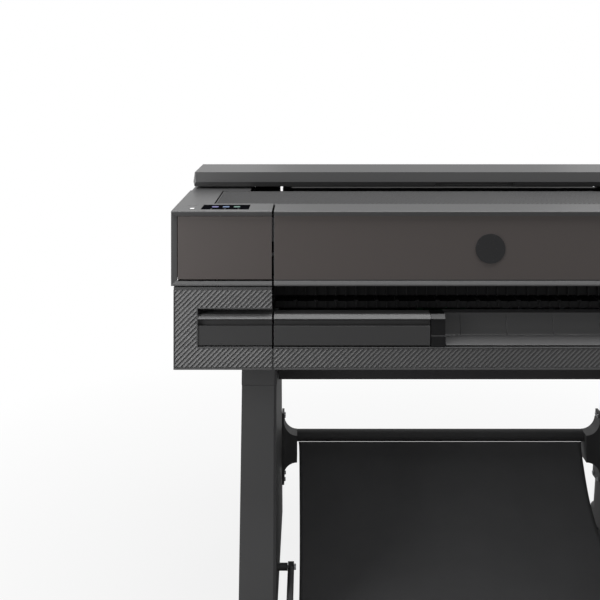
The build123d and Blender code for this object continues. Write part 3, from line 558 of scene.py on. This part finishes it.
strip_low, strip_high = size("lower_front_strip")
cover_low, cover_high = size("lower_cover_left")
gap = 0.1 * MM
inner = size("end_module_left")[1].x
outer = cover_low.x + BORDER
column = -RECESS_X - BORDER
bottom = (strip_low.z + FOOT + gap, strip_high.z - BORDER - gap)
upper = (RECESS_HIGH + BORDER + gap, cover_high.z - SHADOW)
front_ribs("ribs_strip", (strip_low.x, strip_high.x), bottom, "root")
for side in (-1, 1):
    word = "left" if side < 0 else "right"
    long_x = sorted((side * abs(outer) - side * gap, side * abs(inner)))
    short_x = sorted((side * abs(outer) - side * gap, side * abs(column) + side * gap))
    front_ribs(f"ribs_{word}_low", long_x, bottom, "root", (True, False))
    front_ribs(f"ribs_{word}_high", long_x, upper, "root", (False, True))
    front_ribs(f"ribs_{word}_column", short_x, (bottom[1], upper[0]), "root", (False, False))

top_low, top_high = size("rear_top_cover")
corner = Vector((top_low.x + BORDER + gap, top_low.y + BORDER + gap, top_high.z - TOP_BED))
top_span = top_high - top_low - Vector((1, 1, 0)) * 2 * (BORDER + gap)
rib_sheet("ribs_top", corner, RIGHT, BACK, UP, top_span.x, top_span.y, TOP_RIB_DEPTH, "root")


# ---------------------------------------------------------------- display marks

glass_low, glass_high = size("display_glass")


def rounded_plate(bm, centre, width, depth, thick, corners=6, radius=None):
    """A thin rounded rectangle lying flat, added to bm."""
    radius = radius or min(width, depth) * 0.3
    ring = []
    for sx, sy, turn in ((1, 1, 0), (-1, 1, 90), (-1, -1, 180), (1, -1, 270)):
        for step in range(corners + 1):
            angle = math.radians(turn + 90 * step / corners)
            x = sx * (width / 2 - radius) + radius * math.cos(angle)
            y = sy * (depth / 2 - radius) + radius * math.sin(angle)
            ring.append(centre + Vector((x, y, 0)))
    top = [bm.verts.new(spot + UP * thick) for spot in ring]
    low = [bm.verts.new(spot) for spot in ring]
    bm.faces.new(top)
    bm.faces.new(low[::-1])
    for index in range(len(ring)):
        after = (index + 1) % len(ring)
        bm.faces.new((low[index], low[after], top[after], top[index]))


icon_colours = {"violet": (0.05, 0.045, 0.26), "blue": (0.012, 0.085, 0.25), "green": (0.01, 0.12, 0.09)}
glass_mid = (glass_low + glass_high) / 2
for index, (word, colour) in enumerate(icon_colours.items()):
    finish[f"icon_{word}"] = glowing(f"icon_{word}", colour, 0.9)
    bm = bmesh.new()
    centre = Vector((glass_mid.x + (index - 1) * 25 * MM, glass_mid.y + 4 * MM, glass_high.z))
    rounded_plate(bm, centre, 15 * MM, 18 * MM, 0.1 * MM)
    mark = piece(f"display_icon_{word}", bm, f"icon_{word}", "root", smooth=False)
finish["icon_white"] = glowing("icon_white", (0.3, 0.3, 0.32), 0.7)
bm = bmesh.new()
for index in range(3):
    centre = Vector((glass_mid.x + (index - 1) * 31 * MM, glass_low.y + 5 * MM, glass_high.z))
    rounded_plate(bm, centre, 4 * MM, 3 * MM, 0.1 * MM)
marks = piece("display_keys", bm, "icon_white", "root", smooth=False)


# ---------------------------------------------------------------- basket cloth

fabric_low, fabric_high = size("basket_fabric")
tube_low, tube_high = size("brace_tube")
bar_low, bar_high = size("basket_frame")


def cloth_line():
    """The cloth's side profile from the brace tube to the front bar, as (y, z), finely stepped."""
    tube = (tube_low + tube_high) / 2
    bar_y, bar_z = bar_low.y + 8 * MM, bar_high.z - 8 * MM
    control = [
        (tube.y - 2 * MM, tube_low.z - 1.5 * MM),
        (tube.y - 14 * MM, tube.z - 50 * MM),
        (tube.y - 88 * MM, tube.z - 148 * MM),
        (tube.y - 190 * MM, tube.z - 208 * MM),
        (tube.y - 300 * MM, tube.z - 240 * MM),
        (tube.y - 420 * MM, tube.z - 246 * MM),
        (tube.y - 530 * MM, tube.z - 230 * MM),
        (bar_y + 38 * MM, bar_z - 52 * MM),
        (bar_y + 12 * MM, bar_z - 18 * MM),
    ]
    points = []
    for index in range(len(control) - 1):
        before = control[max(index - 1, 0)]
        a, b = control[index], control[index + 1]
        after = control[min(index + 2, len(control) - 1)]
        for step in range(10):
            t = step / 10
            spot = []
            for k in (0, 1):
                m0, m1 = (b[k] - before[k]) / 2, (after[k] - a[k]) / 2
                h = (2 * t**3 - 3 * t**2 + 1, t**3 - 2 * t**2 + t, -2 * t**3 + 3 * t**2, t**3 - t**2)
                spot.append(h[0] * a[k] + h[1] * m0 + h[2] * b[k] + h[3] * m1)
            points.append(tuple(spot))
    points.append(control[-1])
    return points


def make_basket():
    line = cloth_line()
    half_width = (fabric_high.x - fabric_low.x) / 2
    across = 72
    bm = bmesh.new()
    grid = []
    for row, (y, z) in enumerate(line):
        along = row / (len(line) - 1)
        sag = math.sin(math.pi * along)
        verts = []
        for column in range(across + 1):
            share = 2 * column / across - 1
            # Slightly narrower and lower in the middle of the span, with soft drag lines
            x = half_width * share * (1 - 0.012 * sag)
            ripple = noise.noise(Vector((share * 3.1, along * 5.0, 0.3))) * 3.0 * MM * sag
            droop = (abs(share) ** 2 - 1) * 5.0 * MM * sag
            verts.append(bm.verts.new((x, y, z + ripple + droop)))
        grid.append(verts)
    for lower, higher in zip(grid, grid[1:]):
        for column in range(across):
            bm.faces.new((lower[column], lower[column + 1], higher[column + 1], higher[column]))
    cloth = piece("basket_cloth", bm, "fabric", None)
    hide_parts("basket_fabric")
    thick = cloth.modifiers.new("thickness", "SOLIDIFY")
    thick.thickness = 1.4 * MM
    thick.offset = 0.0
    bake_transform(cloth)
    return cloth


make_basket()


# ---------------------------------------------------------------- floor, light and camera

CAMERA_X = -0.3989
CAMERA_BACK = 1.950
CAMERA_Z = 1.4358
LENS = 52.2
SHIFT_X = -0.010
SHIFT_Y = -0.3875


def make_camera():
    """Looks straight along +Y. The lens is shifted only while the camera stands at this spot."""
    data = bpy.data.cameras.new("camera")
    camera = bpy.data.objects.new("camera", data)
    bpy.context.scene.collection.objects.link(camera)
    camera.location = (CAMERA_X, front_y - CAMERA_BACK, CAMERA_Z)
    camera.rotation_euler = (math.pi / 2, 0, 0)
    data.lens = LENS
    data.sensor_width = 36.0
    for path, shift in (("shift_x", SHIFT_X), ("shift_y", SHIFT_Y)):
        driver = data.driver_add(path).driver
        place = driver.variables.new()
        place.name = "spot"
        place.type = "TRANSFORMS"
        place.targets[0].id = camera
        place.targets[0].transform_type = "LOC_X"
        driver.expression = f"{shift} if abs(spot - {CAMERA_X}) < 0.0001 else 0"
    bpy.context.scene.camera = camera


def area_light(name, place, aim, width, height, power, colour=(1, 1, 1)):
    data = bpy.data.lights.new(name, "AREA")
    data.shape = "RECTANGLE"
    data.size = width
    data.size_y = height
    data.energy = power
    data.color = colour
    light = bpy.data.objects.new(name, data)
    bpy.context.scene.collection.objects.link(light)
    light.location = place
    light.rotation_mode = "QUATERNION"
    light.rotation_quaternion = (Vector(aim) - Vector(place)).to_track_quat("-Z", "Y")
    light.visible_camera = False
    return light


def make_lights():
    """A narrow softbox overhead, one near each end, two behind and one far to the left, over the dome."""
    area_light("top_soft", (0.4, -0.72, 3.15), (0.4, -0.55, 1.0), 3.4, 0.6, 75)
    area_light("left_soft", (-1.35, -0.95, 1.1), (-0.6, -0.34, 0.95), 0.5, 0.9, 8)
    area_light("right_soft", (2.2, -1.5, 1.2), (0.6, -0.34, 0.9), 1.0, 1.4, 4)
    area_light("rear_left", (-1.1, 2.6, 1.95), (-0.5, 0, 1.1), 1.1, 1.1, 1.8)
    area_light("rear_right", (1.6, 2.6, 1.95), (0.4, 0, 1.1), 1.1, 1.1, 1.5)
    area_light("far_left", (-3.6, 0.4, 1.1), (-0.7, 0.1, 0.9), 1.6, 1.8, 40)


def make_world():
    """White to the camera. To everything else a soft grey dome, a little brighter behind."""
    world = bpy.data.worlds.new("studio")
    bpy.context.scene.world = world
    world.use_nodes = True
    tree = world.node_tree
    tree.nodes.clear()
    out = tree.nodes.new("ShaderNodeOutputWorld")
    pick = tree.nodes.new("ShaderNodeMixShader")
    seen = tree.nodes.new("ShaderNodeBackground")
    lit = tree.nodes.new("ShaderNodeBackground")
    path = tree.nodes.new("ShaderNodeLightPath")
    split = tree.nodes.new("ShaderNodeSeparateXYZ")
    place = tree.nodes.new("ShaderNodeTexCoord")
    level = tree.nodes.new("ShaderNodeMapRange")
    for index, number in enumerate((-0.4, 0.4, 0.43, 0.54), start=1):
        level.inputs[index].default_value = number
    tree.links.new(place.outputs["Generated"], split.inputs[0])
    tree.links.new(split.outputs[1], level.inputs[0])
    tree.links.new(level.outputs[0], lit.inputs[1])
    tree.links.new(path.outputs["Is Camera Ray"], pick.inputs[0])
    tree.links.new(lit.outputs[0], pick.inputs[1])
    tree.links.new(seen.outputs[0], pick.inputs[2])
    tree.links.new(pick.outputs[0], out.inputs[0])
    for shader in (seen, lit):
        shader.inputs[0].default_value = (1, 1, 1, 1)
    seen.inputs[1].default_value = 1.0


def make_floor():
    """A wide pale floor that reads nearly white to the camera."""
    bm = bmesh.new()
    bmesh.ops.create_grid(bm, x_segments=2, y_segments=2, size=14.0)
    mesh = bpy.data.meshes.new("floor")
    bm.to_mesh(mesh)
    bm.free()
    floor = bpy.data.objects.new("floor", mesh)
    floor.location.z = -0.5 * MM
    bpy.context.scene.collection.objects.link(floor)
    g = Graph("floor")
    g.set("Base Color", g.mix(g.noise(1.5), (0.33, 0.33, 0.33), (0.36, 0.36, 0.36)))
    g.set("Roughness", 0.9)
    g.set("Specular IOR Level", 0.1)
    glow = g.node("ShaderNodeEmission")
    blend = g.node("ShaderNodeMixShader")
    near = g.node("ShaderNodeVectorMath", operation="LENGTH")
    g.join(g.place, near.inputs[0])
    seen = g.node("ShaderNodeLightPath").outputs["Is Camera Ray"]
    white = g.ramp(near.outputs["Value"], 0.85, 1.0, 0.7, 2.2)
    g.join(g.math("MULTIPLY", seen, white), blend.inputs[0])
    g.join(g.shader.outputs[0], blend.inputs[1])
    g.join(glow.outputs[0], blend.inputs[2])
    g.join(blend.outputs[0], g.output.inputs[0])
    mesh.materials.append(g.material)


make_camera()
make_lights()
make_world()
make_floor()
bpy.context.scene.view_settings.view_transform = "Standard"
